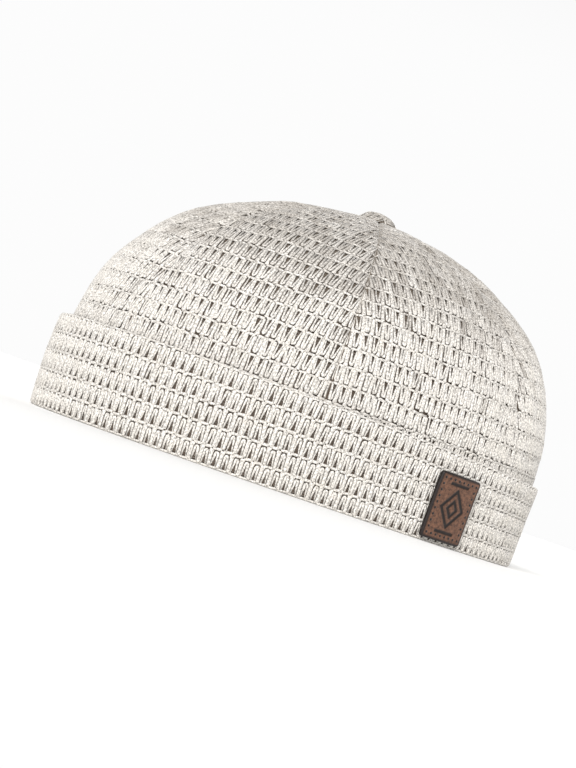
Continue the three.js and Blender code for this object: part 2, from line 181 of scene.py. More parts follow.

# The knit: its stitch, how unevenly it lies, the depth of the sheet under it that is painted as shade, and
# the rows that the cuff and the button hide
STITCH_WIDTH, STITCH_HEIGHT = 3.6, 6.9
STITCH_DRIFT, STITCH_LEAN = (0.07, 0.07, 0.05), 0.025
HOLE_PINCH, MOST_PINCH, PINCH_RARITY = 0.5, 0.9, 1.8
SWAY, SWAY_WAVES, FRONT_LOOSE, SIDE_LOOSE = 0.03, 1.3, 1.6, 1.7
GROUND_DEPTH = 0.92
FIRST_CROWN_ROW, BEHIND_CUFF, BUTTON_COVERS = 27.0, 131, 5.0
TABLE_STEPS = 2000
SHEET_LINES, SIDE_LINES, ARCH_LINES, SHEET_POINTS = 26, 13, 22, 40

button_low, button_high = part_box("crown_button")
BACKWARDS = (button_low.y + button_high.y) / 2 / MILLIMETRE - CROWN_LEAN


def smooth(value, start, end):
    """Eases from 0 at start to 1 at end."""
    share = np.clip((value - start) / (end - start), 0, 1)
    return share * share * (3 - 2 * share)


def oval_angle(degrees):
    """The rim's own angle for a compass angle, from the front round to the wearer's left."""
    turn = math.radians(degrees)
    return math.atan2(math.sin(turn) / HALF_WIDTH, math.cos(turn) / HALF_LENGTH)


def crown_turn(share):
    """A share runs from 0 at the rim to 1 under the button: straight up at first, then over the shoulder."""
    return TOP_ANGLE * np.clip((share - SIDE_SHARE) / (1 - SIDE_SHARE), 0, None) ** ROW_EASE


def crown_reach(share):
    return np.cos(crown_turn(share))


def crown_height(share):
    rise = np.sin(crown_turn(share)) ** (2 / SHOULDER)
    curved = CROWN_SIDE + (CROWN_HEIGHT - CROWN_SIDE) * rise
    return np.where(share <= SIDE_SHARE, CROWN_SIDE * share / SIDE_SHARE, curved)


def share_at(height):
    """The share at which the crown has this height."""
    rise = np.clip((height - CROWN_SIDE) / (CROWN_HEIGHT - CROWN_SIDE), 0, 1)
    turn = np.arcsin(rise ** (SHOULDER / 2))
    curved = SIDE_SHARE + (1 - SIDE_SHARE) * (turn / TOP_ANGLE) ** (1 / ROW_EASE)
    return np.where(height <= CROWN_SIDE, SIDE_SHARE * height / CROWN_SIDE, curved)


def crown_face(angle, share):
    """A place on the crown's outer face."""
    reach, height = crown_reach(share), crown_height(share)
    lean = CROWN_LEAN * np.clip(height - CROWN_SIDE, 0, None) / (CROWN_HEIGHT - CROWN_SIDE)
    return np.stack([
        HALF_WIDTH * reach * np.sin(angle), lean - HALF_LENGTH * reach * np.cos(angle), height,
    ], -1)


def on_crown(angle, share, out):
    """A place that stands out from the crown's face, or in where out is negative."""
    probe = 1e-3
    angle, share, out = np.broadcast_arrays(
        *(np.asarray(v, float) for v in (angle, share, out)))
    low = np.minimum(share, 1 - probe)
    round_it = crown_face(angle + probe, share) - crown_face(angle - probe, share)
    up_it = crown_face(angle, low + probe) - crown_face(angle, low - probe)
    outward = np.cross(round_it, up_it)
    outward /= np.linalg.norm(outward, axis=-1, keepdims=True)
    return crown_face(angle, share) + outward * out[..., None]


# Length round the rim for each angle, and length up the crown for each share, in tables to read both ways
angle_steps = np.linspace(-math.pi, math.pi, 2 * TABLE_STEPS + 1)
rim_speed = np.hypot(HALF_WIDTH * np.cos(angle_steps), HALF_LENGTH * np.sin(angle_steps))
rim_parts = (rim_speed[1:] + rim_speed[:-1]) / 2 * np.diff(angle_steps)
rim_lengths = np.concatenate([[0], np.cumsum(rim_parts)])
rim_lengths -= rim_lengths[TABLE_STEPS]
share_steps = np.linspace(0, 1, TABLE_STEPS + 1)
side_line = crown_face(np.full(TABLE_STEPS + 1, oval_angle(45)), share_steps)
up_lengths = np.concatenate([[0], np.cumsum(np.linalg.norm(np.diff(side_line, axis=0), axis=1))])


def rim_length(angle):
    return np.interp(angle, angle_steps, rim_lengths)


def rim_angle(length):
    return np.interp(length, rim_lengths, angle_steps)


def edit_tube(place, width, thick, sides=6, turned=(math.pi / 2, 0, 0)):
    """Starts a length of yarn: the end of a flattened tube, in edit mode, to be pulled on."""
    bpy.ops.object.select_all(action="DESELECT")
    bpy.ops.mesh.primitive_circle_add(
        vertices=sides, radius=0.5, fill_type="NGON", location=place, rotation=turned)
    bpy.ops.object.transform_apply(location=True, rotation=True, scale=True)
    bpy.ops.object.mode_set(mode="EDIT")
    bpy.ops.mesh.select_all(action="SELECT")
    sizes = (width, 1, thick) if turned[0] else (1, width, thick)
    bpy.ops.transform.resize(value=sizes, center_override=place)


def pull_tube(move, grow=1.0, at=(0, 0, 0)):
    bpy.ops.mesh.extrude_region_move(TRANSFORM_OT_translate={"value": move})
    if grow != 1:
        bpy.ops.transform.resize(value=(grow, grow, 1), center_override=at)


def end_tube():
    """Leaves edit mode with the length of yarn's faces turned outwards."""
    bpy.ops.mesh.select_all(action="SELECT")
    bpy.ops.mesh.normals_make_consistent(inside=False)
    bpy.ops.object.mode_set(mode="OBJECT")
    return bpy.context.object


def take_mesh(thing):
    """Removes the object and gives its points and faces, sorted, as edit mode's own order isn't fixed."""
    points = np.array([point.co for point in thing.data.vertices])
    order = np.lexsort(points.T)
    rank = np.argsort(order).tolist()
    faces = sorted(tuple(rank[corner] for corner in face.vertices) for face in thing.data.polygons)
    bpy.data.objects.remove(thing)
    return points[order], faces


# The loop: two legs of tape that meet in a round head, with a tapered hole between them
LOOP_LIFT = 0.46
HOLE_WIDE, HOLE_NARROW, HOLE_LENGTH = 0.93, 0.52, 4.2
LEG_THIN, LEG_FULL, HEAD_SWELL = 0.42, 0.9, 1.08
LEG_FOOT, LEG_TOP, HEAD_AT = 0.15, 4.15, 5.25
edit_tube((-HOLE_WIDE, LEG_FOOT, LOOP_LIFT), LEG_THIN, 0.74)
pull_tube((0.41, 4.0, 0), LEG_FULL / LEG_THIN, (-HOLE_NARROW, LEG_TOP, LOOP_LIFT))
pull_tube((0.03, 1.1, 0), HEAD_SWELL, (-0.49, HEAD_AT, LOOP_LIFT))
bpy.ops.mesh.spin(steps=4, angle=math.pi, center=(0, HEAD_AT, LOOP_LIFT), axis=(0, 0, 1))
pull_tube((0.03, -1.1, 0), 1 / HEAD_SWELL, (HOLE_NARROW, LEG_TOP, LOOP_LIFT))
pull_tube((0.41, -4.0, 0), LEG_THIN / LEG_FULL, (HOLE_WIDE, LEG_FOOT, LOOP_LIFT))
yarn_loop = end_tube()

# The rib: a plump grain of yarn between this loop and the next
RIB_AT, RIB_LIFT, RIB_WIDTH, RIB_THICK = STITCH_WIDTH / 2, 0.44, 1.2, 0.8
rib_width = RIB_WIDTH
edit_tube((RIB_AT, 0.18, RIB_LIFT), RIB_WIDTH, RIB_THICK)
for pull, up, wider in [(0.6, 0.78, 1.42), (4.5, 5.28, 1.52), (1.0, 6.28, 2.0), (0.42, 6.7, RIB_WIDTH)]:
    pull_tube((0, pull, 0), wider / rib_width, (RIB_AT, up, RIB_LIFT))
    rib_width = wider
yarn_rib = end_tube()

# The row line: a short bridge of yarn over the head of the loop below
BRIDGE_SWELL = 1.45
edit_tube((-1.65, 0.0, 0.42), 0.74, 0.8, turned=(0, math.pi / 2, 0))
pull_tube((0.75, -0.08, 0.1), BRIDGE_SWELL, (-0.9, -0.08, 0.52))
pull_tube((1.8, 0.1, 0))
pull_tube((0.75, -0.02, -0.1), 1 / BRIDGE_SWELL, (1.65, 0, 0.42))
yarn_bridge = end_tube()

# Two fine strands that cross the hole
fine_strands = []
for start, move in [((-0.8, 1.1, 0.2), (1.55, 0.5, 0)), ((-0.55, 2.7, 0.3), (1.15, -0.7, 0))]:
    edit_tube(start, 0.16, 0.16, sides=3, turned=(0, math.pi / 2, 0))
    pull_tube(move)
    fine_strands.append(end_tube())

bpy.ops.object.select_all(action="DESELECT")
for strand in [yarn_rib, yarn_bridge, *fine_strands, yarn_loop]:
    strand.select_set(True)
bpy.context.view_layer.objects.active = yarn_loop
bpy.ops.object.join()
stitch_points, stitch_faces = take_mesh(yarn_loop)

# The crown's cloth lies the other way up from the cuff's.
cuff_stitch = (stitch_points, stitch_faces)
upside_down = stitch_points * (1, -1, 1) + (0, STITCH_HEIGHT, 0)
crown_stitch = (upside_down, [tuple(reversed(face)) for face in stitch_faces])


def build_piece(name, points, faces, uv, material_of, materials, side=1):
    """Points in the cap's own millimetres become a smooth mesh in the row frame."""
    placed = np.array(points) * (side, 1, 1)
    placed[:, 1] += BACKWARDS
    mesh = bpy.data.meshes.new(name)
    turned = [tuple(reversed(f)) for f in faces] if side < 0 else faces
    mesh.from_pydata((placed * MILLIMETRE).tolist(), [], turned)
    mesh.polygons.foreach_set("use_smooth", [True] * len(mesh.polygons))
    mesh.polygons.foreach_set("material_index", material_of)
    corners = np.zeros(len(mesh.loops), int)
    mesh.loops.foreach_get("vertex_index", corners)
    layer = mesh.uv_layers.new(name="cloth")
    layer.data.foreach_set("uv", (np.array(uv) * MILLIMETRE)[corners].ravel())
    for material in materials:
        mesh.materials.append(material)
    piece = bpy.data.objects.new(name, mesh)
    bpy.context.scene.collection.objects.link(piece)
    return piece


def add_relief(piece, heights):
    """How high each point stands over the sheet under the stitches, for the yarn's colour, which is painted
    darker, as shade, the lower a point lies.
    """
    attribute = piece.data.attributes.new("relief", "FLOAT", "POINT")
    attribute.data.foreach_set("value", np.asarray(heights, np.float32))


def knit(stitch, cells, place, seed, loose=1.0):
    """Repeats the stitch at each cell, a column and row of the flat cloth, each a little different, then lays
    it where place() says. Faces whose every corner was cut away by a seam or an edge are left out."""
    chance = np.random.default_rng(seed)
    one_stitch, its_faces = stitch
    count = len(cells)
    drift = loose * chance.normal(0, 1, (count, 3)) * STITCH_DRIFT
    lean = loose * chance.normal(0, STITCH_LEAN, count)
    pinch = min(HOLE_PINCH * loose, MOST_PINCH) * chance.random(count) ** PINCH_RARITY
    flat = np.repeat(one_stitch[None], count, 0)
    up_hole = flat[:, :, 1] if stitch is cuff_stitch else STITCH_HEIGHT - flat[:, :, 1]
    leg = HOLE_WIDE + (HOLE_NARROW - HOLE_WIDE) * np.clip(up_hole / HOLE_LENGTH, 0, 1)
    in_hole = np.abs(flat[:, :, 0]) < leg
    flat[:, :, 0] *= np.where(in_hole, 1 - pinch[:, None], 1)
    flat[:, :, 0] += lean[:, None] * (flat[:, :, 1] - STITCH_HEIGHT / 2)
    flat += (np.pad(np.array(cells, float), ((0, 0), (0, 1))) + drift)[:, None]
    flat = flat.reshape(-1, 3)
    for axis in (0, 1):
        waves, starts = chance.normal(0, SWAY_WAVES, (2, 5)), chance.random(5) * 2 * math.pi
        flat[:, axis] += loose * SWAY * np.sin(flat[:, :2] @ waves + starts).sum(1)
    points, cut = place(flat[:, 0], flat[:, 1], flat[:, 2])
    size = len(one_stitch)
    faces = []
    for start in range(0, count * size, size):
        gone = cut[start:start + size]
        faces += [tuple(start + v for v in face) for face in its_faces if not all(gone[v] for v in face)]
    return points, faces, flat[:, :2], flat[:, 2]


def joined(points, faces, more_points, more_faces):
    """Two meshes' points and faces as one mesh's."""
    moved = [tuple(v + len(points) for v in face) for face in more_faces]
    return np.concatenate([points, more_points]), faces + moved


def grid_faces(across, along, start=0):
    """Quads of a sheet whose points run along its lines, one line after another."""
    return [
        (start + i * along + j, start + (i + 1) * along + j,
         start + (i + 1) * along + j + 1, start + i * along + j + 1)
        for i in range(across - 1) for j in range(along - 1)
    ]


def shell_faces(across, along):
    """An outer sheet, an inner one behind it, and a strip that closes each of the four edges."""
    half = across * along
    faces = grid_faces(across, along)
    faces += [tuple(reversed(f)) for f in grid_faces(across, along, half)]
    rim = (
        [j for j in range(along)] + [i * along + along - 1 for i in range(1, across)]
        + [(across - 1) * along + j for j in range(along - 2, -1, -1)]
        + [i * along for i in range(across - 2, 0, -1)]
    )
    for here, after in zip(rim, rim[1:] + rim[:1]):
        faces.append((here, after, after + half, here + half))
    return faces


def arch_place(turn):
    """Half width and height of the arch's edge, from its foot at 0 to its top at a quarter turn."""
    power = 2 / ARCH_SQUARENESS
    return ARCH_HALF * np.cos(turn) ** power, ARCH_HEIGHT * np.sin(turn) ** power


def arch_share(aside, height):
    """Below 1 inside the arch, 1 on its edge and above 1 outside it."""
    return (aside / ARCH_HALF) ** ARCH_SQUARENESS + (height / ARCH_HEIGHT) ** ARCH_SQUARENESS


def flat_cloth(tree):
    """Where a point lies on the cloth before it is sewn, in metres."""
    return node(tree, "ShaderNodeUVMap", {"uv_map": "cloth"}).outputs["UV"]


def relief_of(tree):
    """How high a point stands, as add_relief() wrote it."""
    return node(tree, "ShaderNodeAttribute", {"attribute_name": "relief"}).outputs["Fac"]


def dimmed(tree, colour, factor):
    """The colour, darkened where the factor is below 1."""
    scaled = node(tree, "ShaderNodeVectorMath", {"operation": "SCALE"}, Scale=factor)
    tree.links.new(colour, scaled.inputs[0])
    return scaled.outputs["Vector"]


def speckle(tree, place, scale, detail, **values):
    """Random soft spots, from 0 to 1."""
    return node(tree, "ShaderNodeTexNoise", Vector=place, Scale=scale, Detail=detail, **values).outputs["Fac"]


def dress(tree, shader, colour, height, strength, distance, **settings):
    """Gives the surface its colour, and a fine bump that rises with the height."""
    bump = node(tree, "ShaderNodeBump", settings, Strength=strength, Distance=distance, Height=height)
    tree.links.new(colour, shader.inputs["Base Color"])
    tree.links.new(bump.outputs["Normal"], shader.inputs["Normal"])


YARN_LIGHT, YARN_SHADE = srgb(255, 251, 246), srgb(242, 235, 224)
# The fibres' pattern, and how far its noise shifts the edge of the painted shade
FIBRE_SCALE, SHADE_JITTER = (1900, 1250, 1), 0.52
# Relief at which the yarn is painted fully in shade, and from which it is painted fully lit
FULL_SHADE_RELIEF, FULL_LIGHT_RELIEF = 0.18, 0.62
# Heights on the crown, in metres, over which the top's yarn is painted darker as shade and its sheet painted
# paler as light
TOP_SHADING_HEIGHTS = (0.05, 0.1)


def knit_material(name, shaded_ground, lit_top_ground, top_lit_relief):
    """Flat white tape yarn: fibres along it, a little soft sheen, and painted shade: darker where it dives
    into the cloth, and the sheet under it painted darkest. High on the crown the sheet is painted paler, as
    light gets in between the stitches there, and more of the yarn is painted darker, as shade on the crown's
    upward-facing top."""
    material, tree, shader = new_material(
        name, Roughness=0.72, Sheen_Weight=0.15, Sheen_Roughness=0.5, Specular_IOR_Level=0.3)
    place = node(tree, "ShaderNodeTexCoord")
    parted = node(tree, "ShaderNodeSeparateXYZ", Vector=place.outputs["Object"])
    upper = ranged(tree, parted.outputs["Z"], *TOP_SHADING_HEIGHTS, kind="SMOOTHSTEP")
    surface = flat_cloth(tree)
    stretched = node(tree, "ShaderNodeMapping", Vector=surface, Scale=FIBRE_SCALE)
    fibres = speckle(tree, stretched.outputs["Vector"], 1.0, 4.0, Roughness=0.7)
    drift = mixed(tree, speckle(tree, surface, 140.0, 4.0), YARN_LIGHT, YARN_SHADE)
    brushed = dimmed(tree, drift, ranged(tree, fibres, 0.4, 0.58, 0.38, 0.97))
    # Painted shade: the yarn's colour falls towards the sheet's shade colour as its relief falls, with the
    # fibres' noise breaking up the edge.
    jittered_relief = node(tree, "ShaderNodeMath", {"operation": "MULTIPLY_ADD"}, Value=fibres)
    jittered_relief.inputs[1].default_value = SHADE_JITTER
    tree.links.new(relief_of(tree), jittered_relief.inputs[2])
    crest = ranged(tree, upper, 0.0, 1.0, FULL_LIGHT_RELIEF + SHADE_JITTER / 2, top_lit_relief + SHADE_JITTER / 2)
    depth = ranged(tree, jittered_relief.outputs["Value"], FULL_SHADE_RELIEF + SHADE_JITTER / 2, crest)
    painted_hollow_shade = mixed(tree, upper, shaded_ground, lit_top_ground)
    dress(tree, shader, mixed(tree, depth, painted_hollow_shade, brushed), fibres, 0.35, 0.1 * MILLIMETRE)
    return material


# The crown's painted shade: the sheet's colour low on the crown and high up, and the relief from which the
# top's yarn is painted lit
crown_yarn = knit_material("crown_yarn", srgb(82, 70, 59), srgb(112, 101, 88), 1.1)

# The shaded back of the mesh, seen through the holes and from inside: rows of small dark eyes
knit_inside, tree, shader = new_material("knit_inside", Roughness=0.9)
cell_scale = (1 / (STITCH_WIDTH * MILLIMETRE), 1 / (STITCH_HEIGHT * MILLIMETRE), 1)
in_cells = node(tree, "ShaderNodeMapping", Vector=flat_cloth(tree), Scale=cell_scale)
parted = node(tree, "ShaderNodeSeparateXYZ", Vector=in_cells.outputs["Vector"])
to_middle = []
for way in "XY":
    folded = node(tree, "ShaderNodeMath", {"operation": "PINGPONG"}, Value=parted.outputs[way])
    folded.inputs[1].default_value = 0.5
    to_middle.append(folded.outputs["Value"])
eye = node(tree, "ShaderNodeMath", {"operation": "MULTIPLY"}, Value=to_middle[0])
tree.links.new(to_middle[1], eye.inputs[1])
eye = ranged(tree, eye.outputs["Value"], 0.1, 0.18)
colour = mixed(tree, eye, srgb(205, 197, 184), srgb(120, 110, 98))
dress(tree, shader, colour, eye, 0.6, 0.6 * MILLIMETRE, invert=True)


def crown_panel(start, end):
    """One panel's cells of knit, with the functions that lay its cloth on the crown and dip it at seams."""
    first, last = oval_angle(start), oval_angle(end)
    reaches_arch = end == BACK_SEAM
    low, high = rim_length(first), rim_length(last)
    middle = (low + high) / 2

    def dip(length, share):
        """How far the cloth lies under the crown's face, and how far it is from the nearer seam."""
        to_seam = np.minimum(np.abs(length - low), np.abs(high - length)) * crown_reach(share)
        height, radius = crown_height(share), crown_reach(share) * HALF_WIDTH
        fade = smooth(height, *SEAM_FADES_LOW) * smooth(radius, *SEAM_FADES_HIGH)
        up = np.interp(share, share_steps, up_lengths)
        dent = np.sin(length / DENTS_ROUND[0] + up / DENTS_UP[0] + start)
        dent += np.sin(up / DENTS_UP[1] - length / DENTS_ROUND[1] + 2)
        dent *= CLOTH_DENT * fade * smooth(to_seam, 0, DENT_INSET)
        return SEAM_DIP * fade * np.exp(-((to_seam / SEAM_REACH) ** 2)) + dent, to_seam

    def place(across, up, lift):
        """Lays flat cloth on the crown. What passes a seam, the arch or the rim is drawn back to it."""
        share = np.interp(np.maximum(up, CROWN_LIFT), up_lengths, share_steps)
        reach = crown_reach(share)
        length = middle + across / reach
        kept = np.clip(length, low + SEAM_GAP / reach, high - SEAM_GAP / reach)
        cut = (kept != length) | (up < CROWN_LIFT)
        angle = rim_angle(kept)
        into_edge = np.ones_like(share)
        if reaches_arch:
            aside, height = HALF_WIDTH * np.sin(angle), crown_height(share)
            inside = arch_share(np.abs(aside), height)
            grow = np.where(angle > math.pi / 2, inside ** (-1 / ARCH_SQUARENESS), 0.5)
            within = grow > 1
            cut |= within
            aside = np.where(within, aside * grow, aside)
            height = np.where(within, height * grow, height)
            share = np.where(within, share_at(height), share)
            angle = np.where(within, math.pi - np.arcsin(aside / HALF_WIDTH), angle)
            into_edge = smooth(1 - grow, 0, ARCH_EASE)
        dipped, to_seam = dip(kept, share)
        edge = smooth(up, CROWN_LIFT, CROWN_LIFT + HEM_EASE) * into_edge
        tuck = (SEAM_FLATTENED + (1 - SEAM_FLATTENED) * smooth(to_seam, 0, SEAM_TUCK)) * edge
        groove = SEAM_GROOVE * np.exp(-((to_seam / GROOVE_REACH) ** 2))
        out = -GROUND_DEPTH - HEM_SINK * (1 - edge) + lift * tuck - groove
        return on_crown(angle, share, out - dipped), cut

    cells = []
    first_row = 0 if reaches_arch else int(FIRST_CROWN_ROW // STITCH_HEIGHT)
    for row in range(first_row, int(up_lengths[-1] / STITCH_HEIGHT) + 1):
        up = np.array([row, row + 1]) * STITCH_HEIGHT
        share = np.interp(up, up_lengths, share_steps)
        reach = crown_reach(share)
        if reach[0] * HALF_WIDTH < BUTTON_COVERS:
            continue
        half = (high - low) / 2 * reach.max()
        count = int(half / STITCH_WIDTH + 1)
        for column in range(-count, count + 1):
            across = column * STITCH_WIDTH
            if abs(across) - STITCH_WIDTH / 2 > half:
                continue
            if reaches_arch:
                angle = rim_angle(middle + across / reach.mean())
                hidden = angle < oval_angle(BEHIND_CUFF) and up[0] < FIRST_CROWN_ROW - STITCH_HEIGHT
                aside, height = abs(HALF_WIDTH * math.sin(angle)), crown_height(share[1])
                open_arch = arch_share(aside + ARCH_OVERLAP, height + ARCH_OVERLAP_UP) < 1
                if hidden or (angle > math.pi / 2 and open_arch):
                    continue
            cells.append((across, up[0]))
    return cells, place, dip


def crown_cloth(name, node_name, start, end, side, seed):
    """One panel: its stitches over a closed sheet painted as the shade under them, whose back is the panel's
    inside.
    """
    cells, place, dip = crown_panel(start, end)
    loose = SIDE_LOOSE if start == SIDE_SEAM else FRONT_LOOSE
    points, faces, uv, relief = knit(crown_stitch, cells, place, seed, loose)
    first, last = oval_angle(start), oval_angle(end)
    if end == BACK_SEAM:
        arch_x, arch_z = arch_place(np.linspace(ARCH_FOOT, math.pi / 2, ARCH_LINES))
        arch_angles = math.pi - np.arcsin(arch_x / HALF_WIDTH)
        angles = np.concatenate([np.linspace(first, arch_angles[0], SIDE_LINES + 1)[:-1], arch_angles])
        bottoms = share_at(np.concatenate([np.full(SIDE_LINES, CROWN_LIFT), np.minimum(arch_z, ARCH_HEIGHT)]))
    else:
        angles = np.linspace(first, last, SHEET_LINES)
        bottoms = np.full(SHEET_LINES, share_at(np.array(CROWN_LIFT)))
    along = SHEET_POINTS
    shares = bottoms[:, None] + (1 - bottoms[:, None]) * np.linspace(0, 1, along)[None]
    angle_grid = np.repeat(angles[:, None], along, 1)
    reach = crown_reach(shares)
    gap = SEAM_GAP / (HALF_LENGTH * np.maximum(reach, 0.05))
    low, high = rim_length(first), rim_length(last)
    angle_grid = np.clip(angle_grid, first + gap, last - gap)
    length = rim_length(angle_grid)
    dipped, _ = dip(length, shares)
    outer = on_crown(angle_grid, shares, -GROUND_DEPTH - dipped).reshape(-1, 3)
    inner = on_crown(angle_grid, shares, -CROWN_WALL - dipped).reshape(-1, 3)
    middle = (low + high) / 2
    sheet_up = np.interp(shares, share_steps, up_lengths)
    sheet_uv = np.stack([(length - middle) * reach, sheet_up], -1).reshape(-1, 2)
    sheet_faces = shell_faces(len(angles), along)
    outer_count = len(faces) + (len(angles) - 1) * (along - 1)
    cloth = joined(points, faces, np.concatenate([outer, inner]), sheet_faces)
    material_of = [0] * outer_count + [1] * (len(cloth[1]) - outer_count)
    all_uv = np.concatenate([uv, sheet_uv, sheet_uv])
    piece = build_piece(name, *cloth, all_uv, material_of, [crown_yarn, knit_inside], side)
    # Along the rim the sheet gets the hem's height, so it is painted with less of the shade.
    hemmed = np.zeros((len(angles), along))
    hemmed[:, 0] = HEM_RELIEF
    add_relief(piece, np.concatenate([relief, hemmed.ravel(), hemmed.ravel()]))
    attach(piece, "root")
    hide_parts(node_name)


for number, (part, start, end) in enumerate([
        ("front", FRONT_SEAM, SIDE_SEAM), ("side", SIDE_SEAM, REAR_SEAM), ("back", REAR_SEAM, BACK_SEAM)]):
    for side, hand in [(1, "left"), (-1, "right")]:
        crown_cloth(f"crown_knit_{part}_{hand}", f"crown_panel_{part}_{hand}", start, end, side,
                    seed=10 * number + side + 1)


# The button: a disc covered with a scrap of the same knit, drawn in under its edge and set over the seams.
BUTTON_RADIUS, BUTTON_RISE, BUTTON_EDGE, BUTTON_SINK = 7.75, 2.9, 0.5, 0.3
BUTTON_SEAT = CROWN_HEIGHT - BUTTON_SINK
BUTTON_GROUND, BUTTON_WRAP, BUTTON_FULLNESS = 0.5, 1.12, 2.6
BUTTON_SWELL_OUT, BUTTON_SWELL_FADE = 0.4, 6
BUTTON_SIDES, BUTTON_RINGS, BUTTON_UNDER = 48, 14, 0.4
BUTTON_ROW_SHIFT, BUTTON_LOOSE, BUTTON_SEED = 3.2, 1.5, 91


def on_button(across, up, lift):
    """The flat scrap is laid over the dome from its middle down to the crown."""
    flat = np.minimum(np.hypot(across, up) / BUTTON_RADIUS, BUTTON_WRAP) / BUTTON_WRAP
    direction = np.arctan2(up, across)
    swell = (lift - BUTTON_GROUND) * (1 - flat ** BUTTON_SWELL_FADE)
    reach = BUTTON_RADIUS * flat + swell * flat * BUTTON_SWELL_OUT
    height = BUTTON_SEAT + (BUTTON_RISE + BUTTON_EDGE) * (1 - flat ** BUTTON_FULLNESS) + swell
    points = np.stack([reach * np.cos(direction), CROWN_LEAN + reach * np.sin(direction), height], -1)
    return points, flat >= 1


def loft_faces(sections, size):
    """A closed tube through like loops of points, with its two ends filled."""
    faces = [
        (i * size + j, (i + 1) * size + j, (i + 1) * size + (j + 1) % size, i * size + (j + 1) % size)
        for i in range(sections - 1) for j in range(size)]
    return faces + [tuple(range(size)), tuple((sections - 1) * size + j for j in range(size - 1, -1, -1))]


button_cells = [
    (column * STITCH_WIDTH, row * STITCH_HEIGHT - BUTTON_ROW_SHIFT)
    for column in range(-4, 5) for row in range(-2, 3)]
points, faces, uv, relief = knit(crown_stitch, button_cells, on_button, BUTTON_SEED, BUTTON_LOOSE)
turns = np.linspace(0, 2 * math.pi, BUTTON_SIDES + 1)[:-1]
rings = np.linspace(0.05, BUTTON_WRAP, BUTTON_RINGS) * BUTTON_RADIUS
dome = [on_button(ring * np.cos(turns), ring * np.sin(turns), np.zeros(BUTTON_SIDES))[0] for ring in rings]
dome.append(np.stack([
    BUTTON_UNDER * np.cos(turns), CROWN_LEAN + BUTTON_UNDER * np.sin(turns),
    np.full(BUTTON_SIDES, BUTTON_SEAT - BUTTON_SINK)], -1))
dome = np.concatenate(dome)
cloth = joined(points, faces, dome, loft_faces(BUTTON_RINGS + 1, BUTTON_SIDES))
crown_button = build_piece(
    "knit_button", *cloth, np.concatenate([uv, dome[:, :2]]), [0] * len(cloth[1]), [crown_yarn])
# The dome has no height, so it is painted as the shaded sheet, paler high on the crown.
add_relief(crown_button, np.concatenate([relief, np.zeros(len(dome))]))
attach(crown_button, "root")
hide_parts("crown_button")


# The cuff: the same knit turned up outside the crown, so that its face and rows are upside down, folded
# at the rim and sewn flat at its two ends behind the ears.
CUFF_END = 135
CUFF_WALL, CUFF_END_WALL, CUFF_END_TAPER, CUFF_END_ROUND = 3.2, 1.4, 16.0, 3.0
CUFF_FRONT_HEIGHT, CUFF_BACK_HEIGHT, CUFF_FLARE = 35.0, 30.0, 0.8
CLEARANCE = 0.3
CUFF_FOLD = CUFF_WALL / 2 * math.pi
CUFF_FACE = CUFF_FRONT_HEIGHT - CUFF_WALL
CUFF_ROUND = 2 * CUFF_FOLD + CUFF_FACE
CUFF_FIRST_ROW, CUFF_ROWS, CUFF_STRETCH, CUFF_SEED = -3.3, 7, 0.965, 7
CUFF_TUCK, TOP_TUCK, TUCK_SINK = 1.2, 0.8, 0.2
CUFF_INSIDE, CUFF_HEM, HEM_TURN = 3.2, 3.5, 0.5
CUFF_LINES, FOLD_POINTS, FACE_POINTS = 150, 7, 12
FLOOR_GAP = 0.03


def on_cuff(length, up, lift):
    """up runs from inside the fold, round the rim, up the cuff's face and over its top edge."""
    end = oval_angle(CUFF_END)
    angle = rim_angle(length)
    to_end = np.maximum((end - np.abs(angle)) * HALF_LENGTH, 0)
    wall = CUFF_END_WALL + (CUFF_WALL - CUFF_END_WALL) * smooth(to_end, 0, CUFF_END_TAPER)
    low = CUFF_END_ROUND * (1 - smooth(to_end, 0, CUFF_END_TAPER / 2))
    high = CUFF_FRONT_HEIGHT + (CUFF_BACK_HEIGHT - CUFF_FRONT_HEIGHT) * (1 - np.cos(angle)) / 2 - low
    half = wall / 2
    shrink = wall / CUFF_WALL
    roll = half - (GROUND_DEPTH - lift) * shrink
    bottom, top = low + half, high - half
    in_fold, in_face = up < CUFF_FOLD, up < CUFF_FOLD + CUFF_FACE
    turn = np.where(in_fold, np.clip(up / CUFF_FOLD, 0, 1) * math.pi,
                    np.clip((up - CUFF_FOLD - CUFF_FACE) / CUFF_FOLD, 0, 1) * math.pi)
    out = np.where(in_fold, -roll * np.cos(turn), np.where(in_face, roll, roll * np.cos(turn)))
    height = np.where(
        in_fold, bottom - roll * np.sin(turn) - np.minimum(up, 0),
        np.where(in_face, bottom + (up - CUFF_FOLD) / CUFF_FACE * (top - bottom), top + roll * np.sin(turn)))
    height = np.maximum(height, FLOOR_GAP)
    stand = CLEARANCE + CUFF_FLARE * height / CUFF_FRONT_HEIGHT + half + out
    return on_crown(angle, share_at(height), stand)


cuff_half = float(rim_length(oval_angle(CUFF_END)))


def place_cuff(across, up, lift):
    """Lays flat cloth round the cuff, cut and drawn in at its ends and its inner edges."""
    length = across * CUFF_STRETCH
    kept = np.clip(length, -cuff_half, cuff_half)
    cut = (kept != length) | (up < -CUFF_INSIDE) | (up > CUFF_ROUND)
    tuck = smooth(cuff_half - np.abs(kept), 0, CUFF_TUCK) * smooth(up, -CUFF_INSIDE, 1 - CUFF_INSIDE)
    tuck *= smooth(CUFF_ROUND - up, 0, TOP_TUCK)
    return on_cuff(kept, np.clip(up, -CUFF_INSIDE, CUFF_ROUND), lift * tuck - TUCK_SINK * (1 - tuck)), cut


cuff_count = int(cuff_half / CUFF_STRETCH / STITCH_WIDTH)
cuff_cells = [
    (column * STITCH_WIDTH, CUFF_FIRST_ROW + row * STITCH_HEIGHT)
    for column in range(-cuff_count, cuff_count + 1) for row in range(CUFF_ROWS)]
points, faces, uv, relief = knit(cuff_stitch, cuff_cells, place_cuff, CUFF_SEED)

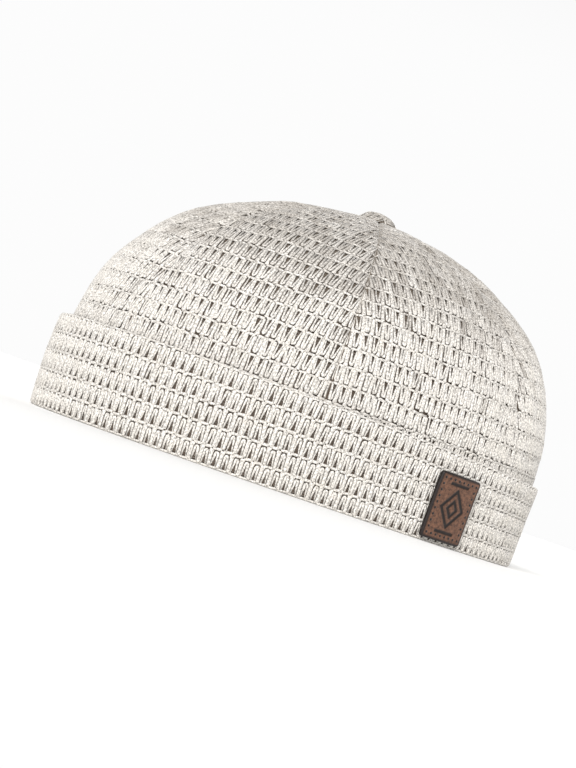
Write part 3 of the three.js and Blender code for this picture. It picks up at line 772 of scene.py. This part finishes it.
# The cuff's sheet under its stitches, a closed tube inside them, painted as the shade between and under them
around = np.concatenate([
    np.linspace(0, CUFF_FOLD, FOLD_POINTS), np.linspace(CUFF_FOLD, CUFF_FOLD + CUFF_FACE, FACE_POINTS)[1:],
    np.linspace(CUFF_FOLD + CUFF_FACE, CUFF_ROUND, FOLD_POINTS)[1:]])
lengths = np.linspace(-cuff_half, cuff_half, CUFF_LINES)
shaded_ground = np.stack([on_cuff(np.full(len(around), l), around, np.zeros(len(around))) for l in lengths])
ground_uv = np.stack(np.meshgrid(lengths, around, indexing="ij"), -1).reshape(-1, 2)


def outward(points, faces):
    """Turns the faces over where they bound their solid from inside."""
    quads = np.array([f for f in faces if len(f) == 4])
    corners = np.concatenate([quads[:, [0, 1, 2]], quads[:, [0, 2, 3]]])
    a, b, c = (points[corners[:, k]] for k in range(3))
    volume = np.einsum("ij,ij->i", a, np.cross(b, c)).sum()
    return faces if volume > 0 else [tuple(reversed(f)) for f in faces]


shaded_ground = shaded_ground.reshape(-1, 3)
cloth = joined(points, faces, shaded_ground, outward(shaded_ground, loft_faces(CUFF_LINES, len(around))))
# The cuff's sheet is painted dark as shade, except where it shows at the cuff's ends and over its top edge:
# there it gets the hem's height and less of the painted shade.
cuff_yarn = knit_material("cuff_yarn", srgb(88, 76, 65), srgb(160, 150, 137), FULL_LIGHT_RELIEF)
hemmed = cuff_half - np.abs(ground_uv[:, 0]) < CUFF_HEM
hemmed |= ground_uv[:, 1] > CUFF_ROUND - HEM_TURN * CUFF_FOLD
cuff = build_piece(
    "knit_cuff", *cloth, np.concatenate([uv, ground_uv]), [0] * len(cloth[1]), [cuff_yarn])
add_relief(cuff, np.concatenate([relief, HEM_RELIEF * hemmed]))
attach(cuff, "root")
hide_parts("cuff")


# The arch binding: a narrow bias strip of beige cotton rolled over the crown's cut edge round the opening.
BINDING_RADIUS, BINDING_INSET, BINDING_DEEPER = 0.95, 1.1, 1.25
BINDING_PUCKER, PUCKER_TURN, BINDING_STEP_LENGTH = 0.05, 2.1, 1.3
BINDING_STEPS, BINDING_SIDES = 90, 14


def cotton_material(name, light, shade):
    """Cotton twill: fine slanted ribs, a trace of mottling and a soft sheen."""
    material, tree, shader = new_material(name, Roughness=0.88, Sheen_Weight=0.2, Sheen_Roughness=0.5)
    surface = flat_cloth(tree)
    turned = node(tree, "ShaderNodeMapping", Vector=surface, Rotation=(0, 0, 0.9), Scale=(2200, 2200, 1))
    twill = node(tree, "ShaderNodeTexWave", {"wave_type": "BANDS"}, Vector=turned.outputs["Vector"],
                 Scale=0.3, Distortion=0.6, Detail=1.0).outputs["Fac"]
    tone = mixed(tree, speckle(tree, surface, 60.0, 3.0), light, shade)
    woven = dimmed(tree, tone, ranged(tree, twill, 0.0, 1.0, 0.95, 1.0))
    dress(tree, shader, woven, twill, 0.3, 0.1 * MILLIMETRE)
    return material


binding_cotton = cotton_material("binding_cotton", srgb(226, 219, 207), srgb(206, 198, 185))
foot_turn = math.asin((CROWN_LIFT / (ARCH_HEIGHT + BINDING_INSET)) ** (ARCH_SQUARENESS / 2))
turns = np.linspace(foot_turn, math.pi - foot_turn, BINDING_STEPS)
power = 2 / ARCH_SQUARENESS
arch_x = (ARCH_HALF + BINDING_INSET) * np.sign(np.cos(turns)) * np.abs(np.cos(turns)) ** power
arch_z = (ARCH_HEIGHT + BINDING_INSET) * np.sin(turns) ** power
arch_angle = math.pi - np.arcsin(arch_x / HALF_WIDTH)
middle = on_crown(arch_angle, share_at(arch_z), -CROWN_WALL / 2)
outside = on_crown(arch_angle, share_at(arch_z), 1 - CROWN_WALL / 2) - middle
along = np.gradient(middle, axis=0)
along /= np.linalg.norm(along, axis=1, keepdims=True)
aside = np.cross(along, outside)
sides = np.linspace(0, 2 * math.pi, BINDING_SIDES + 1)[:-1]
pucker = 1 + BINDING_PUCKER * np.sin(np.arange(BINDING_STEPS) * PUCKER_TURN)
round_it = BINDING_DEEPER * np.cos(sides)[None, :, None] * outside[:, None]
round_it += np.sin(sides)[None, :, None] * aside[:, None]
tube = middle[:, None] + pucker[:, None, None] * BINDING_RADIUS * round_it
tube_lengths = np.arange(BINDING_STEPS) * BINDING_STEP_LENGTH
tube_uv = np.stack(np.meshgrid(tube_lengths, sides, indexing="ij"), -1).reshape(-1, 2)
tube = tube.reshape(-1, 3)
tube_faces = outward(tube, loft_faces(BINDING_STEPS, BINDING_SIDES))
binding = build_piece("arch_edge_binding", tube, tube_faces, tube_uv, [0] * len(tube_faces), [binding_cotton])
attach(binding, "root")
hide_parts("arch_binding")


# The sweatband: a folded strip of beige cotton twill sewn round inside the rim with four rows of stitches,
# its ends folded over, sewn down and left open where the strap goes in.
BAND_LIFT, BAND_HEIGHT, BAND_WALL, BAND_EDGE_WALL, BAND_EDGE = 3.4, 33.0, 1.2, 2.0, 3.5
BAND_FROM_ARCH = 2.2
BAND_END = HALF_WIDTH * math.asin(arch_place(ARCH_FOOT)[0] / HALF_WIDTH) + BAND_FROM_ARCH
BAND_LINES, BAND_POINTS, BAND_CROWDED = 300, 56, 0.12
BAND_ROUND, BAND_THINNED = 0.6, 0.5
WEBBING_TUCK, WEBBING_WALL = 9.0, 1.1
STITCH_LINES = [6.2, 14.0, 23.0, 33.0]
GROOVE, GROOVE_WIDTH, BAND_RIPPLE, BAND_PUFF = 0.24, 0.5, 0.05, 0.1
BAND_BUCKLE, BUCKLE_INSET, BUCKLES_ROUND, BUCKLES_UP = 0.35, (2, 12), (6, 23), (9, 8)
THREAD_PITCH, THREAD_INSET, THREAD_SINK = 3.2, 4.5, 0.08
THREAD_LENGTH, THREAD_WIDTH, THREAD_THICK = 2.2, 0.34, 0.26
band_end = math.pi - BAND_END / HALF_WIDTH


def band_depths(angle):
    """Depth of the band's back, with room for the webbing at its ends, its wall, and the way to its end."""
    to_end = (band_end - np.abs(angle)) * HALF_WIDTH
    pocket = 1 - smooth(to_end, WEBBING_TUCK + 1, 2 * WEBBING_TUCK)
    wall = BAND_EDGE_WALL + (BAND_WALL - BAND_EDGE_WALL) * smooth(to_end, 0, BAND_EDGE)
    return CROWN_WALL + CLEARANCE + pocket * (WEBBING_WALL + CLEARANCE), wall, to_end


def band_relief(angle, height):
    """Puffed between the rows of stitches and drawn in along them."""
    groove = sum(np.exp(-(((height - line) / GROOVE_WIDTH) ** 2)) for line in STITCH_LINES)
    to_end = (band_end - np.abs(angle)) * HALF_WIDTH
    groove = np.maximum(groove, np.exp(-(((to_end - BAND_EDGE) / GROOVE_WIDTH) ** 2)))
    length = rim_length(angle)
    ripple = BAND_RIPPLE * np.sin(length * 2 * math.pi / THREAD_PITCH) * groove
    buckle = BAND_BUCKLE * np.sin(length / BUCKLES_ROUND[0] + height / BUCKLES_UP[0])
    buckle *= np.sin(height / BUCKLES_UP[1] - length / BUCKLES_ROUND[1] + 1)
    return BAND_PUFF - (GROOVE + BAND_PUFF) * groove + ripple + buckle * smooth(to_end, *BUCKLE_INSET)


def rounded(to_edge, radius):
    """How far a rounded edge has fallen, from 1 at the edge to 0 at its radius."""
    return 1 - np.sqrt(np.clip(1 - (1 - np.minimum(to_edge, radius) / radius) ** 2, 0, 1))


band_columns = np.linspace(-1, 1, BAND_LINES)
band_angles = band_end * (band_columns + BAND_CROWDED * np.sin(math.pi * band_columns) / math.pi)
band_heights = np.linspace(0, 1, BAND_POINTS) * BAND_HEIGHT + BAND_LIFT
to_hem = np.minimum(band_heights - BAND_LIFT, BAND_LIFT + BAND_HEIGHT - band_heights)
round_off = BAND_THINNED * rounded(to_hem, BAND_ROUND)
sections = []
for angle in band_angles:
    depth, wall, _ = band_depths(angle)
    inside = depth + wall - round_off + band_relief(angle, band_heights) * (1 - round_off * 2)
    outer = on_crown(angle, share_at(band_heights), -(depth + round_off))
    inner = on_crown(angle, share_at(band_heights), -inside)
    sections.append(np.concatenate([outer, inner[::-1]]))
band_points = np.concatenate(sections)
band_faces = outward(band_points, loft_faces(len(band_angles), 2 * len(band_heights)))
band_uv = np.stack([
    np.repeat(rim_length(band_angles), 2 * len(band_heights)),
    np.tile(np.concatenate([band_heights, band_heights[::-1]]), len(band_angles))], -1)
band_cotton = cotton_material("band_cotton", srgb(252, 247, 239), srgb(242, 235, 225))
thread_cotton = cotton_material("thread_cotton", srgb(158, 146, 130), srgb(140, 128, 113))

# One stitch of sewing thread, a small long bead
bpy.ops.mesh.primitive_uv_sphere_add(segments=6, ring_count=4, radius=0.5)
thread = bpy.context.object
bpy.ops.object.mode_set(mode="EDIT")
bpy.ops.transform.resize(value=(THREAD_LENGTH, THREAD_WIDTH, THREAD_THICK))
bpy.ops.object.mode_set(mode="OBJECT")
thread_points, thread_faces = take_mesh(thread)


def thread_run(starts, place, shorter=1.0):
    """Copies of one thread along a row of stitches; place() takes lengths along, across and out."""
    points, faces = [], []
    for start in starts:
        faces += [tuple(v + len(points) * len(thread_points) for v in f) for f in thread_faces]
        points.append(place(start + shorter * thread_points[:, 0], thread_points[:, 1], thread_points[:, 2]))
    return np.concatenate(points), faces


def sewn(points, faces, uv, runs):
    """Adds the runs of thread to the cloth they are sewn through; the threads take the second material."""
    cloth_faces = len(faces)
    for run in runs:
        points, faces = joined(points, faces, *run)
    uv = np.concatenate([uv, points[len(uv):, [0, 2]]])
    return points, faces, uv, [0] * cloth_faces + [1] * (len(faces) - cloth_faces)


def on_band(length, height, out):
    angle = rim_angle(length)
    depth, wall, _ = band_depths(angle)
    return on_crown(angle, share_at(height), -(depth + wall + band_relief(angle, height) + THREAD_SINK + out))


last_length = float(rim_length(band_end)) - THREAD_INSET
starts = np.arange(-last_length, last_length, THREAD_PITCH)
band_threads = [thread_run(starts, lambda a, b, c: on_band(a, line + b, c)) for line in STITCH_LINES]
sweatband = build_piece(
    "cotton_sweatband", *sewn(band_points, band_faces, band_uv, band_threads), [band_cotton, thread_cotton])
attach(sweatband, "root")
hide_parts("sweatband")


# The strap: two lengths of ribbed black webbing sewn in behind the sweatband's ends. Each goes round a bar
# of the slider, and the wearer's right one comes back as a long free tail.
WEBBING_WIDTH, WEBBING_LIFT, WEBBING_EASE = 20.0, 4.2, 8.0
TAIL_GAP, TAIL_DROP, SHORT_TAIL = 1.0, 2.8, 9.0
SLIDER_AT, BAR_SPACING, BAR_RADIUS = 12.8, 7.2, 1.0
BOUND_EDGE = 1.9
RIB_PITCH, RIB_DEPTH, SELVEDGE, SELVEDGE_THIN = 1.1, 0.18, 1.1, 0.35
RUN_STEPS, EASE_STEPS, LOOP_STEPS, TAIL_STEPS, ACROSS_POINTS = 39, 16, 12, 29, 15
RUN_DEPTH = CROWN_WALL + CLEARANCE + WEBBING_WALL / 2
TAIL_DEPTH = RUN_DEPTH - WEBBING_WALL - CLEARANCE
BAR_DEPTH = (RUN_DEPTH + TAIL_DEPTH) / 2
LOOP_RADIUS = BAR_RADIUS + CLEARANCE + WEBBING_WALL / 2


def at_back(along, deep, height):
    """A place behind the back opening: along from its middle to the wearer's left, deep inside the face."""
    return on_crown(math.pi - along / HALF_WIDTH, share_at(height), -deep)


def webbing_course(side, bar, tail_length, tail_drop):
    """Places along the webbing's middle: along the back, depth inside the crown's face, and drop."""
    start, near_bar = side * (BAND_END + WEBBING_TUCK), bar + side * WEBBING_EASE
    end = bar + side * tail_length
    ease = smooth(np.linspace(0, 1, EASE_STEPS + 1), 0, 1)
    turn = np.linspace(0, math.pi, LOOP_STEPS + 1)
    low, high = BAR_DEPTH + LOOP_RADIUS, BAR_DEPTH - LOOP_RADIUS
    parts = [
        (np.linspace(start, near_bar, RUN_STEPS + 1)[:-1], np.full(RUN_STEPS, RUN_DEPTH),
         np.zeros(RUN_STEPS)),
        (np.linspace(near_bar, bar, EASE_STEPS + 1)[:-1], (RUN_DEPTH + (low - RUN_DEPTH) * ease)[:-1],
         np.zeros(EASE_STEPS)),
        (bar - side * LOOP_RADIUS * np.sin(turn), BAR_DEPTH + LOOP_RADIUS * np.cos(turn),
         np.zeros(LOOP_STEPS + 1)),
        (np.linspace(bar, near_bar, EASE_STEPS + 1)[1:], (high + (TAIL_DEPTH - high) * ease)[1:],
         np.zeros(EASE_STEPS)),
        (np.linspace(near_bar, end, TAIL_STEPS + 1)[1:], np.full(TAIL_STEPS, TAIL_DEPTH),
         tail_drop * np.linspace(0, 1, TAIL_STEPS + 1)[1:]),
    ]
    along, deep, drop = (np.concatenate(column) for column in zip(*parts))
    travelled = np.concatenate([[0], np.cumsum(np.hypot(np.diff(along), np.diff(deep)))])
    fine = np.arange(0, travelled[-1], RIB_PITCH / 6)
    return fine, *(np.interp(fine, travelled, column) for column in (along, deep, drop))


# Black nylon yarn: dull, with paler specks where light catches the crests of its ribs
black_webbing, tree, shader = new_material(
    "black_webbing", Roughness=0.7, Sheen_Weight=0.05, Sheen_Roughness=0.4, Specular_IOR_Level=0.3)
turned = node(tree, "ShaderNodeMapping", Vector=flat_cloth(tree), Scale=(900, 2600, 1))
threads = speckle(tree, turned.outputs["Vector"], 1.0, 2.0)
tone = mixed(tree, threads, srgb(4, 6, 8), srgb(18, 21, 26))
# Painted highlight: specks on the crests of the ribs are painted paler.
crest = node(tree, "ShaderNodeMath", {"operation": "MULTIPLY"}, Value=relief_of(tree))
tree.links.new(ranged(tree, threads, 0.4, 0.75), crest.inputs[1])
burnish_and_highlight = mixed(tree, crest.outputs["Value"], tone, srgb(112, 120, 128))
dress(tree, shader, burnish_and_highlight, threads, 0.5, 0.1 * MILLIMETRE)

profile_up = WEBBING_WIDTH * np.linspace(0, 1, ACROSS_POINTS)
selvedge = np.minimum(np.minimum(profile_up, WEBBING_WIDTH - profile_up), SELVEDGE) / SELVEDGE
profile_thin = SELVEDGE_THIN + (1 - SELVEDGE_THIN) * np.sqrt(selvedge)
profile_round = np.concatenate([profile_up, profile_up[::-1]])


def webbing(name, node_name, side, bar, tail_length, tail_drop):
    """Ribbed webbing along its course, thinner at its woven edges."""
    fine, along, deep, drop = webbing_course(side, bar, tail_length, tail_drop)
    tangent = np.stack([np.gradient(along), np.gradient(deep)], -1)
    tangent /= np.linalg.norm(tangent, axis=1, keepdims=True)
    ribbed = RIB_DEPTH * (np.cos(fine * 2 * math.pi / RIB_PITCH) - 1) / 2
    sections = []
    for k in range(len(fine)):
        half = (WEBBING_WALL / 2 + ribbed[k] * selvedge) * profile_thin
        outs = np.concatenate([half, -half[::-1]])
        sections.append(at_back(
            along[k] - tangent[k, 1] * outs, deep[k] + tangent[k, 0] * outs,
            WEBBING_LIFT - drop[k] + profile_round))
    size = len(profile_round)
    points = np.concatenate(sections)
    faces = outward(points, loft_faces(len(fine), size))
    uv = np.stack([np.repeat(fine, size), np.tile(profile_round, len(fine))], -1)
    piece = build_piece(name, points, faces, uv, [0] * len(faces), [black_webbing])
    add_relief(piece, np.repeat((1 + ribbed / RIB_DEPTH) ** 3, size))
    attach(piece, "root")
    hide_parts(node_name)


long_bar = SLIDER_AT - BAR_SPACING / 2
tail_top = WEBBING_LIFT + WEBBING_WIDTH - TAIL_DROP
arch_at_tail = ARCH_HALF * (1 - (tail_top / ARCH_HEIGHT) ** ARCH_SQUARENESS) ** (1 / ARCH_SQUARENESS)
arch_at_tail -= BOUND_EDGE
webbing("webbing_long", "strap_long", -1, long_bar, long_bar + arch_at_tail - TAIL_GAP, TAIL_DROP)
webbing("webbing_short", "strap_short", 1, SLIDER_AT + BAR_SPACING / 2, SHORT_TAIL, 0)


# The slider: one piece of black moulded plastic with two bars and a plate towards the head. The solid's own
# shape is right, so it keeps its mesh and gets softened edges and the plastic's fine speckle.
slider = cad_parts["strap_slider"]
slider_plastic, tree, shader = new_material("slider_plastic", Roughness=0.45)
place = node(tree, "ShaderNodeTexCoord")
moulding = speckle(tree, place.outputs["Object"], 1600.0, 2.0)
tone = mixed(tree, moulding, srgb(4, 5, 7), srgb(12, 14, 17))
dress(tree, shader, tone, moulding, 0.15, 0.05 * MILLIMETRE)
slider.data.materials.clear()
slider.data.materials.append(slider_plastic)
weld = slider.modifiers.new("weld", "WELD")
weld.merge_threshold = 0.01 * MILLIMETRE
soften = slider.modifiers.new("soften", "BEVEL")
soften.width = 0.4 * MILLIMETRE
soften.segments = 3
soften.limit_method = "ANGLE"
soften.angle_limit = math.radians(40)


# The patch: a small rectangle of brown leather, cut, burnished at its edges, pressed with a plain lozenge
# and sewn to the cuff with dark thread.
PATCH_AT, PATCH_WIDTH, PATCH_HEIGHT, PATCH_WALL, PATCH_LIFT = 87, 19.5, 24.0, 1.4, 1.5
PATCH_CORNER, PATCH_BEVEL, PATCH_STAND = 1.2, 0.6, 0.05
PATCH_LINES, PATCH_POINTS = 66, 80
PATCH_STITCH_INSET, STITCH_DENT, STITCH_DENT_WIDTH = 2.0, 0.16, 0.5
DOTS, DOT_SHORTER, DOT_WIDER = 8, 0.48, 3
BURNISH_DEPTH, BURNISH_WIDTH = 0.3, 1.2
PRESSED_DEPTH, PRESSED_WIDTH = 0.3, 0.5
LOZENGES, BAR_AT, BAR_HALF = [(5.2, 6.5, 3.6), (2.2, 2.8, 1.6)], 8.6, 4.6
patch_middle = oval_angle(PATCH_AT)


def on_patch(across, up, out):
    angle = patch_middle + across / HALF_LENGTH
    height = PATCH_LIFT + PATCH_HEIGHT / 2 + up
    stand = CLEARANCE + CUFF_FLARE * height / CUFF_FRONT_HEIGHT + CUFF_WALL + CLEARANCE + PATCH_STAND + out
    return on_crown(angle, share_at(height), stand)


def pressed(across, up):
    """Depth of the tooling: two lozenges, one in the other, with a bar above and below them."""
    nearest = np.where(np.abs(across) < BAR_HALF, np.abs(np.abs(up) - BAR_AT), BAR_AT)
    for wide, high, slope in LOZENGES:
        nearest = np.minimum(nearest, np.abs(np.abs(across) / wide + np.abs(up) / high - 1) * slope)
    return PRESSED_DEPTH * np.exp(-((nearest / PRESSED_WIDTH) ** 2))


# A grid whose corners are drawn in to the patch's round ones, and each point's way to the nearest edge
patch_across = np.linspace(-1, 1, PATCH_LINES) * PATCH_WIDTH / 2
patch_up = np.linspace(-1, 1, PATCH_POINTS) * PATCH_HEIGHT / 2
grid_x, grid_y = np.meshgrid(patch_across, patch_up, indexing="ij")
square = np.stack([grid_x, grid_y], -1)
straight = np.array([PATCH_WIDTH / 2 - PATCH_CORNER, PATCH_HEIGHT / 2 - PATCH_CORNER])
past = np.maximum(np.abs(square) - straight, 0)
far = np.linalg.norm(past, axis=-1)
reach_to = np.where(far > 0, np.max(past, axis=-1) / np.maximum(far, 1e-6), 1)
square = np.sign(square) * (np.minimum(np.abs(square), straight) + past * reach_to[..., None])
to_edge = PATCH_CORNER - np.linalg.norm(np.maximum(np.abs(square) - straight, 0), axis=-1)
to_edge = np.minimum(to_edge, np.minimum(PATCH_WIDTH / 2 - np.abs(square[..., 0]),
                                         PATCH_HEIGHT / 2 - np.abs(square[..., 1])))
to_edge = np.maximum(to_edge, 0)
stitch_dent = STITCH_DENT * np.exp(-(((to_edge - PATCH_STITCH_INSET) / STITCH_DENT_WIDTH) ** 2))
face_out = PATCH_WALL - PATCH_BEVEL * rounded(to_edge, PATCH_BEVEL) - stitch_dent
face_out -= pressed(square[..., 0], square[..., 1])
front = on_patch(square[..., 0], square[..., 1], face_out).reshape(-1, 3)
back = on_patch(square[..., 0], square[..., 1], np.zeros_like(face_out)).reshape(-1, 3)
patch_points = np.concatenate([front, back])
patch_faces = outward(patch_points, shell_faces(PATCH_LINES, PATCH_POINTS))
patch_uv = np.concatenate([square.reshape(-1, 2)] * 2)

leather, tree, shader = new_material("patch_leather", Roughness=0.5, Specular_IOR_Level=0.4)
surface = flat_cloth(tree)
pores = node(tree, "ShaderNodeTexVoronoi", {"feature": "DISTANCE_TO_EDGE"}, Vector=surface, Scale=1500.0)
clouds = speckle(tree, surface, 900.0, 6.0, Roughness=0.75)
tone = mixed(tree, ranged(tree, clouds, 0.34, 0.66), srgb(62, 42, 31), srgb(164, 115, 88))
burnish_and_highlight = ranged(tree, relief_of(tree), PATCH_WALL - BURNISH_DEPTH, PATCH_WALL - 0.02)
colour = mixed(tree, burnish_and_highlight, srgb(26, 18, 15), tone)
dress(tree, shader, colour, pores.outputs["Distance"], 0.35, 0.2 * MILLIMETRE)
patch_thread = cotton_material("patch_thread", srgb(24, 19, 17), srgb(16, 13, 12))

# Each stitch shows as a short plump dot, so the thread is shortened and widened.
seam_x, seam_y = PATCH_WIDTH / 2 - PATCH_STITCH_INSET, PATCH_HEIGHT / 2 - PATCH_STITCH_INSET
across_starts, up_starts = np.linspace(-seam_x, seam_x, DOTS), np.linspace(-seam_y, seam_y, DOTS + 2)[1:-1]
patch_threads = [
    thread_run(across_starts, lambda a, b, c: on_patch(a, up + DOT_WIDER * b, PATCH_WALL + c), DOT_SHORTER)
    for up in (-seam_y, seam_y)]
patch_threads += [
    thread_run(up_starts, lambda a, b, c: on_patch(across + DOT_WIDER * b, a, PATCH_WALL + c), DOT_SHORTER)
    for across in (-seam_x, seam_x)]
patch = build_piece(
    "leather_patch", *sewn(patch_points, patch_faces, patch_uv, patch_threads), [leather, patch_thread])
burnished = face_out - BURNISH_DEPTH * np.exp(-((to_edge / BURNISH_WIDTH) ** 4))
on_threads = np.full(len(patch.data.vertices) - len(patch_points), PATCH_WALL)
add_relief(patch, np.concatenate([burnished.ravel(), np.zeros(len(back)), on_threads]))
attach(patch, "root")
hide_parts("side_patch")
